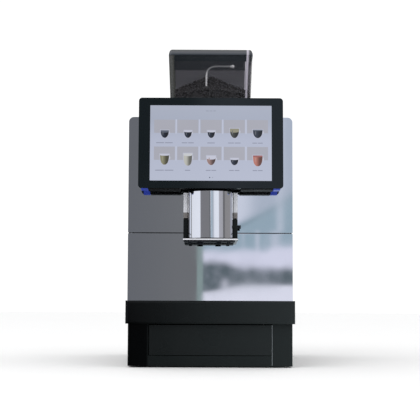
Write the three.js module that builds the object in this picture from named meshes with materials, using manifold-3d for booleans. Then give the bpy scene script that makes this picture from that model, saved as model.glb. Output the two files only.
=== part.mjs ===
// A table-top bean-to-cup coffee machine with a touch screen, as an assembly of separate pieces.
// Millimetres, +Z up, front facing -Y, origin under the centre of the overall box.
import * as THREE from 'three';
import { mergeVertices } from 'three/addons/utils/BufferGeometryUtils.js';
import Module from 'manifold-3d';

const wasm = await Module();
wasm.setup();

// ---- driving dimensions -------------------------------------------------------------------
const GAP = 0.3; // clearance between pieces that touch
const BODY_HALF = 150; // half the body width
const FRONT = -250; // foremost plane, the drip tray's nose
const REAR = 250; // rearmost plane, the back sheet
const DOOR_FACE = -165; // outer face of both mirror panels
const CHASSIS_FACE = -141; // front of the inner frame, behind the door
const SHEET = 2; // thickness of the body sheets
const GLASS = 4; // thickness of the mirror panels

const PLINTH_BOTTOM = 2.5;
const PLINTH_TOP = 75.5;
const PLINTH_HALF = 144;
const PLINTH_FRONT = -238;
const TRAY_TOP = 116; // rim of the drip tray
const TRAY_DECK = 108; // the tray's tail, which runs under the splash panel
const GRID_TOP = 107; // the grid lies below the rim
const SPLIT_LOW = 238; // top of the splash panel
const SPLIT_HIGH = 239.6; // bottom of the door
const BODY_TOP = 452;
const COVER_BOTTOM = 434; // lower edge of the top cover
const SHOULDER = 9; // rounding of the body's upper edges

const SCREEN = { width: 258, height: 163.5, z: 396.5, forward: 56, tilt: THREE.MathUtils.degToRad(-2) };
const LCD = { width: 217, height: 135.6 };

const SPOUT_HALF = 48.5; // half the width over the cheeks
const COVER_RADIUS = 41; // the chrome cover is a half cylinder
const COVER_AXIS_Y = -199;
const COVER_LOW = 224.8;
const COVER_HIGH = 309;
const NOZZLE_X = -2; // centre of the nozzle block
const NOZZLE_Y = -207;

const HOPPER = { x: 0, y: -48, baseWidth: 152.4, baseDepth: 86, low: BODY_TOP + 20.3, high: 584, taper: 0.08 };
const LID_TOP = 596;
const NECK = { x: -8, y: -48 }; // axis of the hopper neck, the shut-off rod and the grinder

const BREW = { x: -8, y: -98 }; // axis of the brew chamber
const SPINDLE_X = 26; // axis of the spindle that lifts the brew piston
const HINGE = { x: -143, y: -149 }; // axis of the door
const HINGE_BORE = 3.3; // in the inner frame, where the rod turns
const BODY_EDGE = -142.2; // front edge of the side sheets and the cover, clear of the turning door
const TANK = { x0: -20, x1: 135, y0: 130, y1: 238, z0: 150, z1: 449 };
const FAN = { x: -84, z: 346, half: 46, y0: 222, y1: 247.9 };
const BOILER = { x: 98, y: 60, radius: 42 };

// ---- materials ----------------------------------------------------------------------------
function finish(color, roughness, metalness) {
  return new THREE.MeshStandardMaterial({ color, roughness, metalness });
}

const MATERIAL = {
  mirror: finish(0x6f7377, 0.08, 0.9),
  graphite: finish(0x2b2c2f, 0.45, 0.4),
  satinBlack: finish(0x121214, 0.35, 0.0),
  mattBlack: finish(0x1a1a1c, 0.7, 0.0),
  rubber: finish(0x151515, 0.9, 0.0),
  screenGlass: finish(0x0c1216, 0.08, 0.0),
  display: finish(0xb2b8d0, 0.3, 0.0),
  lightBar: finish(0x2d4fb5, 0.3, 0.0),
  chrome: finish(0xc9ccd0, 0.1, 1.0),
  silver: finish(0xb4b6b8, 0.35, 0.8),
  smoked: finish(0x4a464e, 0.15, 0.0),
  smokedLid: finish(0x6b6a70, 0.3, 0.0),
  beans: finish(0x2a1a12, 0.5, 0.0),
  steel: finish(0x9a9ca0, 0.4, 0.9),
  brass: finish(0xb08d4a, 0.35, 0.9),
  copper: finish(0xb06a42, 0.35, 0.9),
  insulation: finish(0xc9c5ba, 0.85, 0.0),
  whitePlastic: finish(0xd8d8d4, 0.5, 0.0),
  clearTank: finish(0xaab4bc, 0.12, 0.0),
};

// ---- solids -------------------------------------------------------------------------------
function solid(geometry) {
  const bare = geometry.index ? geometry.toNonIndexed() : geometry.clone();
  bare.deleteAttribute('normal');
  bare.deleteAttribute('uv');
  const merged = mergeVertices(bare, 1e-4);
  return new wasm.Manifold(new wasm.Mesh({
    numProp: 3,
    vertProperties: new Float32Array(merged.attributes.position.array),
    triVerts: new Uint32Array(merged.index.array),
  }));
}

function geometryOf(body) {
  const mesh = body.getMesh();
  const geometry = new THREE.BufferGeometry();
  geometry.setAttribute('position', new THREE.BufferAttribute(new Float32Array(mesh.vertProperties), 3));
  geometry.setIndex(new THREE.BufferAttribute(new Uint32Array(mesh.triVerts), 1));
  geometry.computeVertexNormals();
  return geometry;
}

function joined(bodies) {
  return bodies.reduce((sum, body) => sum.add(body));
}

function cut(body, tools) {
  return tools.reduce((rest, tool) => rest.subtract(tool), body);
}

function box(x0, x1, y0, y1, z0, z1) {
  const geometry = new THREE.BoxGeometry(x1 - x0, y1 - y0, z1 - z0);
  geometry.translate((x0 + x1) / 2, (y0 + y1) / 2, (z0 + z1) / 2);
  return solid(geometry);
}

function rounded(x0, x1, y0, y1, radius) {
  const shape = new THREE.Shape();
  shape.moveTo(x0 + radius, y0);
  shape.lineTo(x1 - radius, y0);
  shape.absarc(x1 - radius, y0 + radius, radius, -Math.PI / 2, 0, false);
  shape.lineTo(x1, y1 - radius);
  shape.absarc(x1 - radius, y1 - radius, radius, 0, Math.PI / 2, false);
  shape.lineTo(x0 + radius, y1);
  shape.absarc(x0 + radius, y1 - radius, radius, Math.PI / 2, Math.PI, false);
  shape.lineTo(x0, y0 + radius);
  shape.absarc(x0 + radius, y0 + radius, radius, Math.PI, Math.PI * 1.5, false);
  return shape;
}

function polygon(points) {
  return new THREE.Shape(points.map(([a, b]) => new THREE.Vector2(a, b)));
}

function extruded(shape, depth, curveSegments) {
  return new THREE.ExtrudeGeometry(shape, { depth, bevelEnabled: false, curveSegments });
}

// An outline in X and Y, raised from z0 to z1.
function prismZ(shape, z0, z1, curveSegments = 5) {
  const geometry = extruded(shape, z1 - z0, curveSegments);
  geometry.translate(0, 0, z0);
  return solid(geometry);
}

// An outline in X and Z, drawn from y0 to y1.
function prismY(shape, y0, y1, curveSegments = 5) {
  const geometry = extruded(shape, y1 - y0, curveSegments);
  geometry.rotateX(Math.PI / 2);
  geometry.translate(0, y1, 0);
  return solid(geometry);
}

// An outline in Y and Z, drawn from x0 to x1.
function prismX(shape, x0, x1, curveSegments = 5) {
  const geometry = extruded(shape, x1 - x0, curveSegments);
  const turn = new THREE.Matrix4().makeBasis(
    new THREE.Vector3(0, 1, 0),
    new THREE.Vector3(0, 0, 1),
    new THREE.Vector3(1, 0, 0),
  );
  geometry.applyMatrix4(turn);
  geometry.translate(x0, 0, 0);
  return solid(geometry);
}

function rodZ(x, y, z0, z1, radius, sides = 20, topRadius = radius) {
  const geometry = new THREE.CylinderGeometry(topRadius, radius, z1 - z0, sides);
  geometry.rotateX(Math.PI / 2);
  geometry.translate(x, y, (z0 + z1) / 2);
  return solid(geometry);
}

function rodY(x, z, y0, y1, radius, sides = 20) {
  const geometry = new THREE.CylinderGeometry(radius, radius, y1 - y0, sides);
  geometry.translate(x, (y0 + y1) / 2, z);
  return solid(geometry);
}

function rodX(y, z, x0, x1, radius, sides = 16) {
  const geometry = new THREE.CylinderGeometry(radius, radius, x1 - x0, sides);
  geometry.rotateZ(Math.PI / 2);
  geometry.translate((x0 + x1) / 2, y, z);
  return solid(geometry);
}

function tube(points, radius, steps, halfSides = 4) {
  const path = new THREE.CatmullRomCurve3(points.map(([x, y, z]) => new THREE.Vector3(x, y, z)));
  const section = new THREE.Shape();
  section.absarc(0, 0, radius, 0, Math.PI * 2, false);
  return solid(new THREE.ExtrudeGeometry(section, {
    steps,
    extrudePath: path,
    bevelEnabled: false,
    curveSegments: halfSides,
  }));
}

// A block whose outline grows or shrinks with height, as a moulded bin with draft does.
function drafted(width, depth, radius, z0, z1, growth, centre) {
  const geometry = extruded(rounded(-width / 2, width / 2, -depth / 2, depth / 2, radius), z1 - z0, 4);
  const position = geometry.attributes.position;
  for (let i = 0; i < position.count; i += 1) {
    const rise = position.getZ(i) * growth;
    position.setX(i, position.getX(i) * (1 + rise / width));
    position.setY(i, position.getY(i) * (1 + rise / depth));
  }
  geometry.translate(centre.x, centre.y, z0);
  return solid(geometry);
}

const machine = new THREE.Group();

function part(name, body, material, parent = machine) {
  const mesh = new THREE.Mesh(geometryOf(body), material);
  mesh.name = name;
  parent.add(mesh);
  return mesh;
}

function mirrored(make) {
  for (const [side, sign] of [['left', -1], ['right', 1]]) {
    make(side, sign);
  }
}

// A box given by its distances from the centre plane, on the side of the sign.
function sideBox(sign, inner, outer, y0, y1, z0, z1) {
  return box(Math.min(sign * inner, sign * outer), Math.max(sign * inner, sign * outer), y0, y1, z0, z1);
}

// ---- plinth, feet and drawer --------------------------------------------------------------
const DRAWER = { half: 107, low: 21, high: 74, boxHalf: 104, back: 60, wall: 2.5 };

function basePlinth() {
  const runnerTop = DRAWER.low - GAP - 0.2;
  const plan = rounded(-PLINTH_HALF, PLINTH_HALF, PLINTH_FRONT, REAR - 5, 6);
  const shell = prismZ(plan, PLINTH_BOTTOM, PLINTH_TOP);
  const hollow = prismZ(rounded(-141, 141, PLINTH_FRONT + 3, REAR - 8, 4), 8, PLINTH_TOP + 1);
  const mouth = box(-108, 108, FRONT, PLINTH_FRONT + 10, DRAWER.low - 0.8, PLINTH_TOP + 1);
  const runners = [-1, 1].map((sign) => sideBox(sign, 84, 112, PLINTH_FRONT + 1, 100, 7, runnerTop));
  return joined([cut(shell, [hollow, mouth]), ...runners]);
}

function feet() {
  for (const [row, y] of [['front', -200], ['rear', 210]]) {
    mirrored((side, sign) => {
      part(`foot_${row}_${side}`, rodZ(sign * 118, y, 0, PLINTH_BOTTOM - GAP, 15), MATERIAL.rubber);
    });
  }
}

function groundsDrawer() {
  const { half, low, high, boxHalf, back, wall } = DRAWER;
  const front = box(-half, half, PLINTH_FRONT, PLINTH_FRONT + 5, low, high);
  const tub = box(-boxHalf, boxHalf, PLINTH_FRONT + 4, back, low, high - 3);
  const inside = box(-boxHalf + wall, boxHalf - wall, PLINTH_FRONT + 5, back - wall, low + wall, high);
  return cut(joined([front, tub]), [inside]);
}

part('base_plinth', basePlinth(), MATERIAL.satinBlack);
feet();
part('grounds_drawer', groundsDrawer(), MATERIAL.satinBlack);

// ---- drip tray and grid -------------------------------------------------------------------
const TRAY = { half: 148, back: -145, low: PLINTH_TOP + GAP, nose: 5, rimBack: DOOR_FACE - 0.5 };

function dripTray() {
  const { half, back, low, nose, rimBack } = TRAY;
  const side = new THREE.Shape();
  side.moveTo(back, low);
  side.lineTo(back, TRAY_DECK);
  side.lineTo(rimBack, TRAY_DECK);
  side.lineTo(rimBack, TRAY_TOP);
  side.lineTo(FRONT + nose, TRAY_TOP);
  side.absarc(FRONT + nose, TRAY_TOP - nose, nose, Math.PI / 2, Math.PI, false);
  side.lineTo(FRONT, low + 3);
  side.lineTo(FRONT + 3, low);
  const block = prismX(side, -half, half, 6);
  const plan = prismZ(rounded(-half, half, FRONT, back + 40, 9), low - 1, TRAY_TOP + 1);
  const basin = box(-134, 134, -236, -175, low + 3, TRAY_TOP + 1);
  const ledge = box(-141, 141, -242, -171, GRID_TOP - 3, TRAY_TOP + 1);
  return cut(block.intersect(plan), [basin, ledge]);
}

function dripGrid() {
  const slotCount = 22;
  const pitch = 12;
  const plate = prismZ(rounded(-140.5, 140.5, -241.5, -171.5, 2), GRID_TOP - 2.7, GRID_TOP, 2);
  const slots = [];
  for (let i = 0; i < slotCount; i += 1) {
    const x = (i - (slotCount - 1) / 2) * pitch;
    slots.push(box(x - 3.2, x + 3.2, -234, -178, GRID_TOP - 10, GRID_TOP + 5));
  }
  return cut(plate, slots);
}

part('drip_tray', dripTray(), MATERIAL.satinBlack);
part('drip_grid', dripGrid(), MATERIAL.mattBlack);

// ---- body: sheets, cover, splash panel and inner frame ------------------------------------
function sidePanel(sign) {
  const outline = polygon([
    [BODY_EDGE, PLINTH_TOP + 0.5],
    [REAR - 2.3, PLINTH_TOP + 0.5],
    [REAR - 2.3, COVER_BOTTOM - GAP],
    [BODY_EDGE, COVER_BOTTOM - GAP],
    [BODY_EDGE, SPLIT_LOW + 0.5],
    [-160.7, SPLIT_LOW + 0.5],
    [-160.7, 109.5],
    [BODY_EDGE, 109.5],
  ]);
  const sheet = prismX(outline, sign < 0 ? -BODY_HALF : BODY_HALF - SHEET, sign < 0 ? SHEET - BODY_HALF : BODY_HALF);
  const vents = [];
  for (let i = 0; i < 7; i += 1) {
    const z = 330 + i * 11;
    vents.push(sideBox(sign, BODY_HALF - 5, BODY_HALF + 5, 150, 215, z, z + 4));
  }
  return cut(sheet, vents);
}

function rearPanel() {
  const sheet = box(-BODY_HALF, BODY_HALF, REAR - SHEET + GAP, REAR, PLINTH_TOP + 0.5, COVER_BOTTOM - GAP);
  const slots = [];
  for (let i = -4; i <= 4; i += 1) {
    const z = FAN.z + i * 9;
    const reach = Math.sqrt(38 * 38 - (i * 9) ** 2) + 2;
    slots.push(box(FAN.x - reach, FAN.x + reach, REAR - 10, REAR + 10, z - 2.2, z + 2.2));
  }
  const inletCut = box(-125.3, -64.7, REAR - 10, REAR + 10, 93.7, 121.3);
  return cut(sheet, [...slots, inletCut]);
}

function topCover() {
  const outer = new THREE.Shape();
  outer.moveTo(-BODY_HALF, COVER_BOTTOM);
  outer.lineTo(BODY_HALF, COVER_BOTTOM);
  outer.lineTo(BODY_HALF, BODY_TOP - SHOULDER);
  outer.absarc(BODY_HALF - SHOULDER, BODY_TOP - SHOULDER, SHOULDER, 0, Math.PI / 2, false);
  outer.lineTo(-BODY_HALF + SHOULDER, BODY_TOP);
  outer.absarc(-BODY_HALF + SHOULDER, BODY_TOP - SHOULDER, SHOULDER, Math.PI / 2, Math.PI, false);
  const block = prismY(outer, BODY_EDGE, REAR, 6);
  const hollow = box(-148, 148, -141.2, REAR - 2, COVER_BOTTOM - 5, BODY_TOP - SHOULDER);
  const loft = box(-140, 140, -141.2, REAR - 2, BODY_TOP - SHOULDER - 1, BODY_TOP - 2.5);
  const neckHole = box(NECK.x - 34, NECK.x + 34, NECK.y - 34, NECK.y + 34, COVER_BOTTOM, BODY_TOP + 5);
  const tankHole = box(TANK.x0 - 2, TANK.x1 + 2, TANK.y0 - 2, TANK.y1 + 2, COVER_BOTTOM, BODY_TOP + 5);
  return cut(block, [hollow, loft, neckHole, tankHole]);
}

function splashPanel() {
  return prismY(rounded(-BODY_HALF, BODY_HALF, 109.6, SPLIT_LOW, 1), DOOR_FACE, DOOR_FACE + GLASS, 2);
}

function chassisFrame() {
  const floor = box(-147, 147, CHASSIS_FACE, 246, PLINTH_TOP + 0.5, 80);
  const groundsHole = box(-62, 46, -130, -58, 70, 90);
  const portal = box(-147, 147, CHASSIS_FACE, -137, PLINTH_TOP + 0.5, COVER_BOTTOM - 1);
  const window = box(-127, 127, CHASSIS_FACE - 5, -130, 96, 404);
  const pieces = [];
  for (const sign of [-1, 1]) {
    pieces.push(sideBox(sign, 140, 147, 239, 246, 79, 430));
    pieces.push(sideBox(sign, 140, 147, -138, 246, 423, 430));
    pieces.push(sideBox(sign, 128, 132, DOOR_FACE + GLASS + GAP, -140, 114, 228));
  }
  const shelf = box(TANK.x0 - 4, 147, TANK.y0 - 3, 246, 146.7, TANK.z0 - GAP);
  const shelfLeg = box(TANK.x0 - 4, 147, TANK.y0 - 3, TANK.y0, 79, 148);
  const outletHole = rodZ(57, 184, 140, 155, 9, 16);
  const tabs = [[233, 238], [409, 414]].map(([z0, z1]) => box(-147.5, -137, -155, -140, z0, z1));
  const frame = joined([cut(floor, [groundsHole]), cut(portal, [window]), ...pieces, shelf, shelfLeg, ...tabs]);
  return cut(frame, [outletHole, rodZ(HINGE.x, HINGE.y, 225, 420, HINGE_BORE, 16)]);
}

mirrored((side, sign) => part(`side_panel_${side}`, sidePanel(sign), MATERIAL.graphite));
part('rear_panel', rearPanel(), MATERIAL.graphite);
part('top_cover', topCover(), MATERIAL.graphite);
part('splash_panel', splashPanel(), MATERIAL.mirror);
part('chassis_frame', chassisFrame(), MATERIAL.steel);

// ---- front door ---------------------------------------------------------------------------
function doorGlass() {
  const shape = new THREE.Shape();
  shape.moveTo(-BODY_HALF, SPLIT_HIGH);
  shape.lineTo(BODY_HALF, SPLIT_HIGH);
  shape.lineTo(BODY_HALF, BODY_TOP - SHOULDER);
  shape.absarc(BODY_HALF - SHOULDER, BODY_TOP - SHOULDER, SHOULDER, 0, Math.PI / 2, false);
  shape.lineTo(-BODY_HALF + SHOULDER, BODY_TOP);
  shape.absarc(-BODY_HALF + SHOULDER, BODY_TOP - SHOULDER, SHOULDER, Math.PI / 2, Math.PI, false);
  const sheet = prismY(shape, DOOR_FACE, DOOR_FACE + GLASS, 6);
  return cut(sheet, [box(-14, 14, DOOR_FACE - 5, DOOR_FACE + 10, 250, 334)]);
}

function doorFrame() {
  const front = DOOR_FACE + GLASS + GAP;
  const plan = polygon([
    [-148, front],
    [149.5, front],
    [149.5, -150],
    [145.5, -145.5],
    [-144.2, -145.5],
    [-148, -150],
  ]);
  const block = prismZ(plan, SPLIT_HIGH + 1, BODY_TOP - SHOULDER);
  const pocket = box(-134, 143, front + SHEET, -140, SPLIT_HIGH + 6, 436);
  const slot = box(-14, 14, front - 5, front + 5, 250, 334);
  const notch = box(-151, -133.5, front - 1, -140, 407, 416);
  const bore = rodZ(HINGE.x, HINGE.y, 225, 428, 3.05, 16);
  return cut(block, [pocket, slot, notch, bore]);
}

function spoutRail() {
  const back = DOOR_FACE - GAP;
  const channel = box(-31, 31, -175, back, 244, 345);
  const groove = box(-26, 26, -176, back - 3, 230, 350);
  const slot = box(-12, 12, -180, back + 5, 252, 332);
  return cut(channel, [groove, slot]);
}

const door = new THREE.Group();
machine.add(door);
part('door_glass', doorGlass(), MATERIAL.mirror, door);
part('door_frame', doorFrame(), MATERIAL.mattBlack, door);
part('door_hinge_rod', rodZ(HINGE.x, HINGE.y, 231, 426, 3, 16), MATERIAL.steel, door);
part('spout_rail', spoutRail(), MATERIAL.chrome, door);

// ---- touch screen, built upright and then tilted back -------------------------------------
const screenBack = 32; // local depth of the housing behind the bezel face
const SCREEN_FOOT = -83.6; // local height of the housing's and light bars' lower ends
const screenGroup = new THREE.Group();
screenGroup.position.set(0, DOOR_FACE - SCREEN.forward, SCREEN.z);
screenGroup.rotation.x = SCREEN.tilt;
door.add(screenGroup);

function screenBezel() {
  const w = SCREEN.width / 2;
  const h = SCREEN.height / 2;
  const opening = box(-LCD.width / 2 - GAP, LCD.width / 2 + GAP, -5, 5, -LCD.height / 2 - GAP, LCD.height / 2 + GAP);
  return cut(prismY(rounded(-w, w, -h, h, 6), 0, 3, 5), [opening]);
}

function screenHousing() {
  const block = box(-111.7, 111.7, 3 + GAP, screenBack, SCREEN_FOOT, 74);
  const pocket = box(-104, 104, 0, screenBack - 4, -74, 68);
  const spoutNotch = box(-54, 54, 0, screenBack + 5, -100, -79.5);
  return cut(block, [pocket, spoutNotch]);
}

function screenBracket() {
  const z0 = 352;
  const z1 = 445;
  const backPlane = (z) => {
    const slope = Math.tan(-SCREEN.tilt);
    const depthHere = (screenBack + 0.4) / Math.cos(SCREEN.tilt);
    return DOOR_FACE - SCREEN.forward + depthHere + (z - SCREEN.z) * slope;
  };
  const front = DOOR_FACE - GAP;
  return prismX(polygon([[front, z0], [front, z1], [backPlane(z1), z1], [backPlane(z0), z0]]), -70, 70);
}

part('screen_bezel', screenBezel(), MATERIAL.screenGlass, screenGroup);
part('lcd_panel', box(-LCD.width / 2, LCD.width / 2, 0.2, 3, -LCD.height / 2, LCD.height / 2),
  MATERIAL.display, screenGroup);
part('screen_housing', screenHousing(), MATERIAL.mattBlack, screenGroup);
mirrored((side, sign) => {
  part(`light_bar_${side}`, sideBox(sign, 112, 124, 5, 25, SCREEN_FOOT, 74), MATERIAL.lightBar, screenGroup);
});
part('screen_bracket', screenBracket(), MATERIAL.mattBlack, door);

// ---- spout --------------------------------------------------------------------------------
// A half-cylinder shell whose lower edge rises from its nose to its sides.
function spoutCover() {
  const start = Math.PI + 0.22;
  const end = Math.PI * 2 - 0.22;
  const shape = new THREE.Shape();
  shape.absarc(0, COVER_AXIS_Y, COVER_RADIUS, start, end, false);
  shape.absarc(0, COVER_AXIS_Y, COVER_RADIUS - 2, end, start, true);
  const shell = prismZ(shape, COVER_LOW, COVER_HIGH, 26);
  const nose = COVER_AXIS_Y - COVER_RADIUS;
  const rise = polygon([[nose, COVER_LOW - 5], [nose, COVER_LOW], [nose + 33, COVER_LOW + 4], [nose + 33, COVER_LOW - 5]]);
  return cut(shell, [prismX(rise, -60, 60)]);
}

function spoutCarriage() {
  const face = -207.2;
  const block = box(-40.5, 40.5, face, -176, COVER_LOW + GAP, COVER_HIGH - GAP);
  const tongue = box(-25.5, 25.5, -176.5, -169, COVER_LOW + GAP, 343);
  const cap = rodZ(0, COVER_AXIS_Y, COVER_HIGH - 4, COVER_HIGH - 0.6, COVER_RADIUS - 2.4, 40);
  const capRear = box(-60, 60, -195, -140, COVER_LOW, COVER_HIGH + 20);
  return joined([block, tongue, cut(cap, [capRear])]);
}

const BLOCK_LOW = 219.6;
const BLOCK_HIGH = 221.7;

function nozzleBlock() {
  const block = prismZ(rounded(NOZZLE_X - 45, NOZZLE_X + 45, -234, -182, 5), BLOCK_LOW, BLOCK_HIGH, 3);
  const outlets = [-1, 1].map((sign) => rodZ(NOZZLE_X + sign * 34.5, NOZZLE_Y, 217.2, 220.5, 3.1, 14));
  return joined([block, ...outlets]);
}

function coffeeNozzle(sign) {
  const x = NOZZLE_X + sign * 16.6;
  return cut(rodZ(x, NOZZLE_Y, 216.6, BLOCK_LOW - GAP, 5.3, 20), [rodZ(x, NOZZLE_Y, 200, 230, 3.4, 16)]);
}

const spout = new THREE.Group();
door.add(spout);
part('spout_carriage', spoutCarriage(), MATERIAL.satinBlack, spout);
part('spout_cover', spoutCover(), MATERIAL.chrome, spout);
part('spout_trim', prismZ(rounded(-SPOUT_HALF, SPOUT_HALF, -242, -176.5, 4), 222, COVER_LOW - GAP, 4),
  MATERIAL.silver, spout);
part('nozzle_block', nozzleBlock(), MATERIAL.satinBlack, spout);
mirrored((side, sign) => {
  part(`spout_cheek_${side}`, sideBox(sign, 41, SPOUT_HALF, -201, -176.5, 263, COVER_HIGH), MATERIAL.silver, spout);
  part(`spout_grip_${side}`, sideBox(sign, 41, SPOUT_HALF, -201, -176.5, COVER_LOW, 261.5), MATERIAL.satinBlack, spout);
  part(`coffee_nozzle_${side}`, coffeeNozzle(sign), MATERIAL.steel, spout);
});
part('milk_port', cut(rodX(-194, 248, SPOUT_HALF + GAP, 54.5, 3.2), [rodX(-194, 248, 50.5, 60, 1.6, 12)]),
  MATERIAL.satinBlack, spout);

// ---- bean hopper --------------------------------------------------------------------------
const BIN_WALL = 3;

function hopperBase() {
  const plan = rounded(-75.5, 75.5, HOPPER.y - 42.5, HOPPER.y + 42.5, 11);
  const plinth = prismZ(plan, BODY_TOP + 0.4, HOPPER.low - GAP, 4);
  const neck = rodZ(NECK.x, NECK.y, COVER_BOTTOM + 0.5, BODY_TOP + 2, 28, 28);
  const funnel = rodZ(NECK.x, NECK.y, BODY_TOP + 4, HOPPER.low + 0.01, 24, 28, 38);
  const bore = rodZ(NECK.x, NECK.y, COVER_BOTTOM - 5, BODY_TOP + 5, 25, 28);
  const spider = box(NECK.x - 26, NECK.x + 26, NECK.y - 3, NECK.y + 3, BODY_TOP - 7, BODY_TOP - 3);
  const stemHole = rodZ(NECK.x, NECK.y, BODY_TOP - 12, BODY_TOP + 2, 1.85, 12);
  return cut(joined([cut(joined([plinth, neck]), [funnel, bore]), spider]), [stemHole]);
}

function hopperBin() {
  const height = HOPPER.high - HOPPER.low;
  const outer = drafted(HOPPER.baseWidth, HOPPER.baseDepth, 12, HOPPER.low, HOPPER.high, HOPPER.taper, HOPPER);
  const inner = drafted(HOPPER.baseWidth - BIN_WALL * 2, HOPPER.baseDepth - BIN_WALL * 2, 9,
    HOPPER.low - 1, HOPPER.high + 1, HOPPER.taper * height / (height + 2), HOPPER);
  return cut(outer, [inner]);
}

// The heap is a cone at the beans' angle of repose, highest towards the back of the bin.
function coffeeBeans() {
  const inset = (BIN_WALL + 0.6) * 2;
  const fill = drafted(HOPPER.baseWidth - inset, HOPPER.baseDepth - inset, 9, HOPPER.low, 570, HOPPER.taper, HOPPER);
  const peak = 557;
  const reach = 130;
  const heap = rodZ(NECK.x + 6, NECK.y + 28, peak - reach * 0.4, peak, reach, 32, 8);
  const plug = rodZ(NECK.x, NECK.y, BODY_TOP + 4.5, HOPPER.low + 0.2, 23.5, 28, 36.8);
  const stemHole = rodZ(NECK.x, NECK.y, BODY_TOP, 580, 2.4, 12);
  const low = box(-100, 100, -200, 100, HOPPER.low - 1, peak - reach * 0.4 + 1);
  return cut(joined([fill.intersect(joined([heap, low])), plug]), [stemHole]);
}

// The lid's outline follows the bin, and its upper edges are rounded all the way round.
function hopperLid() {
  const halfWidth = 80.8;
  const halfDepth = 47.6;
  const skirtLow = 573;
  const low = HOPPER.high + GAP;
  const { y } = HOPPER;
  const domed = (centre, half) => {
    const shape = new THREE.Shape();
    shape.moveTo(centre - half, low);
    shape.lineTo(centre + half, low);
    shape.absellipse(centre + half - 9, low, 9, LID_TOP - low, 0, Math.PI / 2, false, 0);
    shape.absellipse(centre - half + 9, low, 9, LID_TOP - low, Math.PI / 2, Math.PI, false, 0);
    return shape;
  };
  const across = prismY(domed(0, halfWidth), y - 120, y + 120, 7);
  const along = prismX(domed(y, halfDepth), -120, 120, 7);
  const plan = prismZ(rounded(-halfWidth, halfWidth, y - halfDepth, y + halfDepth, 12), low - 1, LID_TOP + 1, 5);
  const skirt = prismZ(rounded(-75.5, 75.5, y - 42, y + 42, 8), skirtLow, HOPPER.high + 2, 4);
  const inside = prismZ(rounded(-73, 73, y - 39.5, y + 39.5, 6), skirtLow - 1, LID_TOP - 3, 4);
  return cut(joined([across.intersect(along).intersect(plan), skirt]), [inside]);
}

function beanGate() {
  const low = BODY_TOP - 15;
  const arm = 572;
  const stem = tube([
    [0, 0, low + 1],
    [0, 0, low + 50],
    [0, 0, arm - 60],
    [0, 0, arm - 19],
    [1.4, 0, arm - 9.6],
    [7, 0, arm - 3],
    [16, 0, arm - 0.2],
    [34, 0, arm],
    [50, 0, arm],
  ], 1.75, 28);
  const ball = solid(new THREE.SphereGeometry(3.4, 14, 10).translate(51, 0, arm));
  const disc = cut(rodZ(0, 0, low, low + 3, 24, 28), [
    rodZ(12, 0, low - 5, low + 8, 8, 16),
    rodZ(-12, 0, low - 5, low + 8, 8, 16),
  ]);
  return joined([stem, ball, disc]).translate([NECK.x, NECK.y, 0]);
}

const hopper = new THREE.Group();
machine.add(hopper);
part('hopper_base', hopperBase(), MATERIAL.satinBlack, hopper);
part('hopper_bin', hopperBin(), MATERIAL.smoked, hopper);
part('hopper_lid', hopperLid(), MATERIAL.smokedLid, hopper);
part('coffee_beans', coffeeBeans(), MATERIAL.beans, hopper);
part('bean_gate', beanGate(), MATERIAL.chrome, hopper);

// ---- grinder ------------------------------------------------------------------------------
function grinderHousing() {
  const drum = rodZ(NECK.x, NECK.y, 345, COVER_BOTTOM - 1, 42, 32);
  const bore = rodZ(NECK.x, NECK.y, 352, COVER_BOTTOM, 32, 28);
  const shaftHole = rodZ(NECK.x, NECK.y, 340, 355, 5.5, 16);
  const exit = box(NECK.x - 9, NECK.x + 9, NECK.y - 60, NECK.y - 20, 356, 370);
  return cut(drum, [bore, shaftHole, exit]);
}

function coneBurr() {
  return joined([
    rodZ(NECK.x, NECK.y, 336, 362, 4.5, 16),
    rodZ(NECK.x, NECK.y, 356, 364, 29, 28),
    rodZ(NECK.x, NECK.y, 364, 392, 27, 28, 13),
    rodZ(NECK.x, NECK.y, 390, 398, 6, 6),
  ]);
}

function grinderMotor() {
  const can = rodZ(NECK.x, NECK.y, 262, 345 - GAP, 34, 28);
  return cut(can, [rodZ(NECK.x, NECK.y, 330, 350, 5.5, 16)]);
}

function groundsChute() {
  const face = NECK.y - 42.6;
  const duct = box(-24, 8, face - 26, face, 259, 376);
  const inside = box(-21.5, 5.5, face - 23.5, face - 2.5, 250, 373.5);
  const entry = box(-17, 1, face - 5, face + 5, 356, 370);
  return cut(duct, [inside, entry]);
}

part('grinder_housing', grinderHousing(), MATERIAL.mattBlack);
part('grinder_motor', grinderMotor(), MATERIAL.steel);
part('cone_burr', coneBurr(), MATERIAL.steel);
part('grounds_chute', groundsChute(), MATERIAL.mattBlack);

// ---- brew unit ----------------------------------------------------------------------------
function brewFrame() {
  const front = BREW.y - 36;
  const rear = BREW.y + 42;
  const base = box(-68, 52, front, rear, 100, 104);
  const head = box(-50, 40, front, rear, 226, 230);
  const back = box(-50, 40, rear - 4, rear, 100, 230);
  const legs = [box(-68, -64, front, rear, 80.3, 102), box(48, 52, front, rear, 80.3, 102)];
  const chamberHole = rodZ(BREW.x, BREW.y, 220, 240, 27.4, 28);
  const spindleHole = rodZ(SPINDLE_X, BREW.y, 90, 110, 4.3, 14);
  return cut(joined([base, head, back, ...legs]), [chamberHole, spindleHole]);
}

function brewChamber() {
  const wall = rodZ(BREW.x, BREW.y, 178, 252, 27, 28);
  const flange = rodZ(BREW.x, BREW.y, 230.4, 235, 31, 28);
  return cut(joined([wall, flange]), [rodZ(BREW.x, BREW.y, 170, 260, 23.4, 28)]);
}

function brewPiston() {
  const head = rodZ(BREW.x, BREW.y, 181, 193, 22.9, 28);
  const stem = rodZ(BREW.x, BREW.y, 108, 185, 5, 14);
  const arm = box(BREW.x - 6, SPINDLE_X + 9, BREW.y - 8, BREW.y + 8, 106, 116);
  return cut(joined([head, stem, arm]), [rodZ(SPINDLE_X, BREW.y, 100, 120, 4.4, 14)]);
}

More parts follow.
